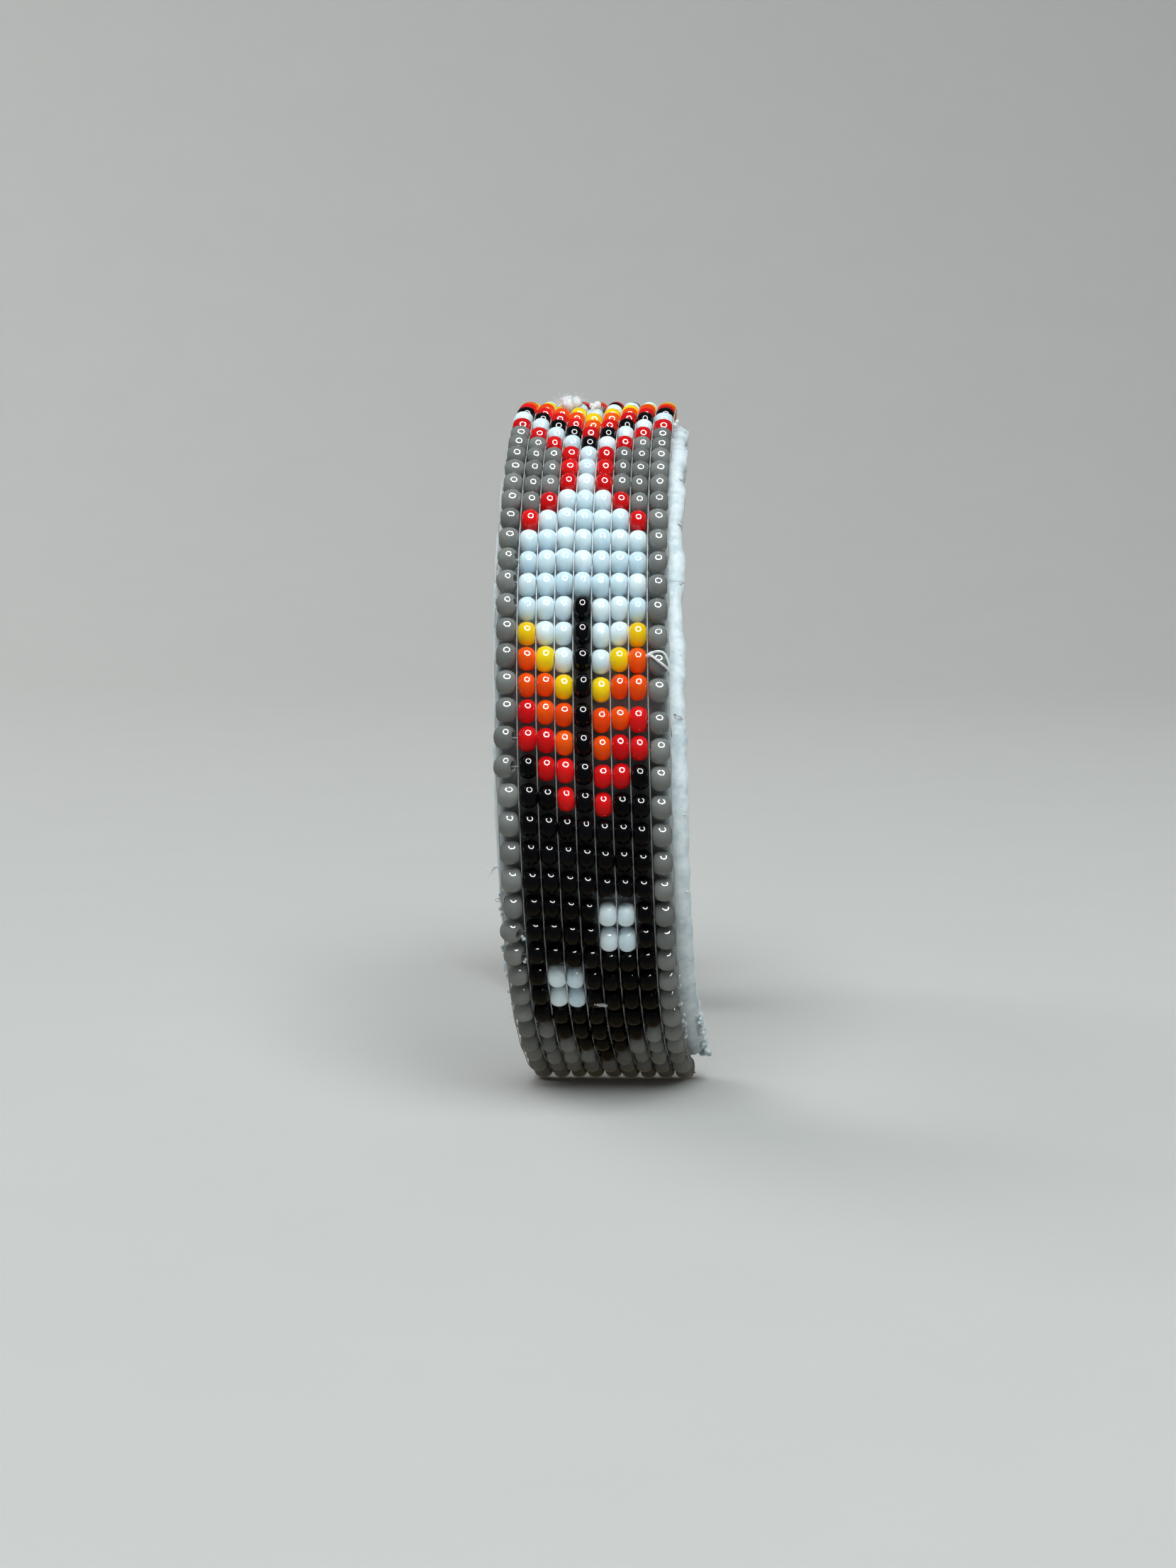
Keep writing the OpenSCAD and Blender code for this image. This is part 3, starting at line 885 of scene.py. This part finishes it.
def make_frayed_threads():
    """A frayed end and a curl at the left edge, stubs in two turned beads and a pale flake in a gap."""
    rng = random.Random(71)
    shape = Shape()
    for _ in range(6):
        add_fibre(shape, rng, FRAYED_ROW, felt_edges(FRAYED_ROW)[0], 1.1, rng.uniform(0.9, 1.5),
                  (-1, rng.uniform(-0.35, 0.05), 0.2), 0.05)
    shape.tones = [1.0] * len(shape.tones)
    curl = []
    curl_x = felt_edges(CURL_ROW)[0] - 0.22
    for i in range(15):
        a = math.radians(-60 + 26 * i)
        curl.append(place(CURL_ROW + 0.09 * math.sin(a), curl_x + 0.2 * math.cos(a), 1.1 - 0.01 * i))
    shape.tube(curl, 0.035 * MM, 6, 1.0)
    spot = -column_x(4) + EDGE_BEAD_HALF - PANEL_SHIFT - 0.12
    for row in STUBBED_ROWS:
        for _ in range(4):
            add_crumb(shape, rng, row + rng.uniform(-0.06, 0.06), spot + rng.uniform(-0.05, 0.12),
                      rng.uniform(-0.8, -0.55), rng.uniform(0.1, 0.16))
    before_flake = len(shape.tones)
    for i in range(6):
        add_crumb(shape, rng, FLAKE_ROW + 0.02 * i, -0.5 + 0.17 * i,
                  rng.uniform(-1.0, -0.85), rng.uniform(0.1, 0.17))
    shape.tones[before_flake:] = [0.45] * (len(shape.tones) - before_flake)
    piece = shape.build("frayed_threads_front_end", THREAD)
    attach(piece, "front_end")


def make_fibres():
    """Short hairs along the felt's cut edges, and the worn bits at the front end."""
    rng = random.Random(47)
    for segment, (body, first, last) in BODIES.items():
        shape = Shape()
        for _ in range((last - first + 1) * HAIRS_A_ROW):
            row = rng.uniform(first - 0.3, last + 0.3)
            edge = rng.choice((0, 1))
            x = felt_edges(row)[edge]
            side = 1 if edge else -1
            add_fibre(shape, rng, row, x - side * 0.05, rng.uniform(1.15, 3.5), rng.uniform(0.12, 0.42),
                      (side, rng.uniform(-1.2, 1.2), rng.uniform(-0.5, 0.6)), 0.008)
        if segment == "front_end":
            add_frayed_front(shape, rng)
        piece = shape.build(f"felt_fuzz_{segment}", FELT)
        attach(piece, body)


def make_tufts():
    """Wisps of fluff caught among the beads of the crown."""
    rng = random.Random(59)
    shape = Shape()
    for row, col, depth, count, length, lump, wide in TUFTS:
        middle = col * COLUMN_PITCH - PANEL_SHIFT
        for _ in range(count):
            aim = (rng.uniform(-0.8, 0.8), rng.uniform(-0.5, 0.4), 1)
            add_fibre(shape, rng, row + rng.uniform(-0.2, 0.2), middle + rng.uniform(-wide, wide),
                      depth + rng.uniform(0.0, 0.4), rng.uniform(0.5, 1.0) * length, aim, 0.02)
        for _ in range(7):
            add_crumb(shape, rng, row + rng.uniform(-0.3, 0.3), middle + rng.uniform(-wide, wide),
                      depth - rng.uniform(0.0, 0.3), lump * rng.uniform(0.6, 1.0))
    piece = shape.build("crown_fluff", FLUFF)
    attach(piece, "root")


def make_blank():
    """The CAD's own blank, in brass."""
    for name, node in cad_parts.items():
        if name.startswith("metal_blank"):
            node.data.materials.clear()
            node.data.materials.append(BRASS)


# ---------------------------------------------------------------- stage, lights and camera

BACKDROP_Y = 0.75
BACKDROP_BEND = 0.35
BACKDROP_TOP = 1.8
FLOOR_EDGE = 1.6


def plain_surface(name, colour):
    """Matt paper of one colour, very slightly mottled."""
    material, tree, shader = new_material(name)
    grain = spread(tree, object_noise(tree, 60, 4.0), 0.0, 1.0)
    tree.links.new(mixed(tree, grain, colour, tuple(min(1, 1.04 * c) for c in colour)),
                   shader.inputs["Base Color"])
    shader.inputs["Roughness"].default_value = 0.9
    shader.inputs["Specular IOR Level"].default_value = 0.0
    return material


def make_stage():
    """A pale floor that curves up into a backdrop."""
    bend = BACKDROP_BEND
    line = [(-FLOOR_EDGE, 0.0), (BACKDROP_Y - bend, 0.0)]
    line += [(BACKDROP_Y - bend + bend * math.sin(a), bend * (1 - math.cos(a)))
             for a in (math.radians(6 * i) for i in range(1, 16))]
    line.append((BACKDROP_Y, BACKDROP_TOP))
    n = len(line)
    shape = Shape()
    shape.add([(x, y, z) for x in (-FLOOR_EDGE, FLOOR_EDGE) for y, z in line],
              [(n + i, n + i + 1, i + 1, i) for i in range(n - 1)])
    floor = shape.build("floor_and_backdrop", plain_surface("pale_backdrop", (0.5, 0.48, 0.46)))
    floor.visible_glossy = False


def only_mirrored(piece):
    """The piece shows in reflections and nowhere else."""
    piece.visible_camera = False
    piece.visible_diffuse = False
    piece.visible_shadow = False


def make_reflected_table():
    """What the beads mirror from below: a dim warm surface."""
    near, far, wide, low = -0.05, 0.3, 0.3, -0.002
    shape = Shape()
    shape.add([(-wide, near, low), (wide, near, low), (wide, far, low), (-wide, far, low)], [(0, 1, 2, 3)])
    only_mirrored(shape.build("reflected_table", glow_material("reflected_table", 0.19, (1.0, 0.8, 0.46))))


def area_light(name, where, size, power, colour):
    """A soft square panel that lights the cuff but isn't mirrored in its beads."""
    light = bpy.data.lights.new(name, "AREA")
    light.shape = "SQUARE"
    light.size = size
    light.energy = power
    light.color = colour
    item = bpy.data.objects.new(name, light)
    item.location = where
    item.rotation_euler = (PANEL_AIM - Vector(where)).to_track_quat("-Z", "Y").to_euler()
    item.visible_glossy = False
    bpy.context.scene.collection.objects.link(item)


CAMERA_AT = Vector((0.001, -0.27761, 0.05281))
CAMERA_LOOKS = Vector((-0.00858, 1, -0.10788))
CAMERA_ROLL = 0.0053
CAMERA_LENS = 72


def make_camera():
    """The camera looks at the front arm from a little below the crown."""
    data = bpy.data.cameras.new("camera")
    data.sensor_fit = "VERTICAL"
    data.sensor_height = 36
    data.lens = CAMERA_LENS
    item = bpy.data.objects.new("camera", data)
    item.location = CAMERA_AT
    looks = CAMERA_LOOKS.to_track_quat("-Z", "Y").to_matrix()
    item.rotation_euler = (looks @ Matrix.Rotation(CAMERA_ROLL, 3, "Z")).to_euler()
    bpy.context.scene.collection.objects.link(item)
    bpy.context.scene.camera = item


PANEL_AIM = Vector((0, 0, 0.03))
LIT_SPOT = Vector((0, -0.03, 0.03))
RING_AWAY = 0.37
RING_RISE = math.radians(63)
RING_TURN = math.radians(13)
RING_R = 0.16
RING_TUBE = 0.02


def make_ring_light():
    """A round lamp high in front; each glossy bead mirrors it as a small bright ring."""
    facing = Vector((math.sin(RING_TURN) * math.cos(RING_RISE), -math.cos(RING_TURN) * math.cos(RING_RISE),
                     math.sin(RING_RISE)))
    centre = LIT_SPOT + facing * RING_AWAY
    side = facing.cross(Vector((0, 0, 1))).normalized()
    up = side.cross(facing)
    around, sides = 64, 8
    points = []
    for i in range(around):
        a = 2 * math.pi * i / around
        out = side * math.cos(a) + up * math.sin(a)
        for j in range(sides):
            b = 2 * math.pi * j / sides
            points.append(centre + out * (RING_R + RING_TUBE * math.cos(b))
                          + facing * (RING_TUBE * math.sin(b)))
    shape = Shape()
    shape.add(points, [face[::-1] for face in ring_faces(around, sides, closed=True)])
    only_mirrored(shape.build("ring_lamp", glow_material("ring_lamp", 60)))


def make_lights():
    """Soft panels above, in front and behind, and a faint sky."""
    area_light("sky_panel", (0.05, -0.4, 0.8), 0.7, 9.2, (0.86, 0.97, 1.0))
    area_light("front_fill", (0.3, -0.85, 0.4), 0.6, 0.5, (1.0, 0.96, 0.9))
    area_light("side_fill", (-0.6, 0.5, 0.6), 0.7, 5, (0.95, 0.98, 1.0))
    world = bpy.data.worlds.new("studio")
    world.use_nodes = True
    sky = world.node_tree.nodes["Background"]
    sky.inputs["Color"].default_value = (0.9, 0.95, 1.0, 1)
    sky.inputs["Strength"].default_value = 0.08
    bpy.context.scene.world = world
    bpy.context.scene.view_settings.view_transform = "Standard"


make_camera()
make_stage()
make_reflected_table()
make_lights()
make_ring_light()
make_blank()
make_felt()
make_beads()
make_warps()
make_wefts()
make_stitches()
make_loose_loop()
make_frayed_threads()
make_fibres()
make_tufts()
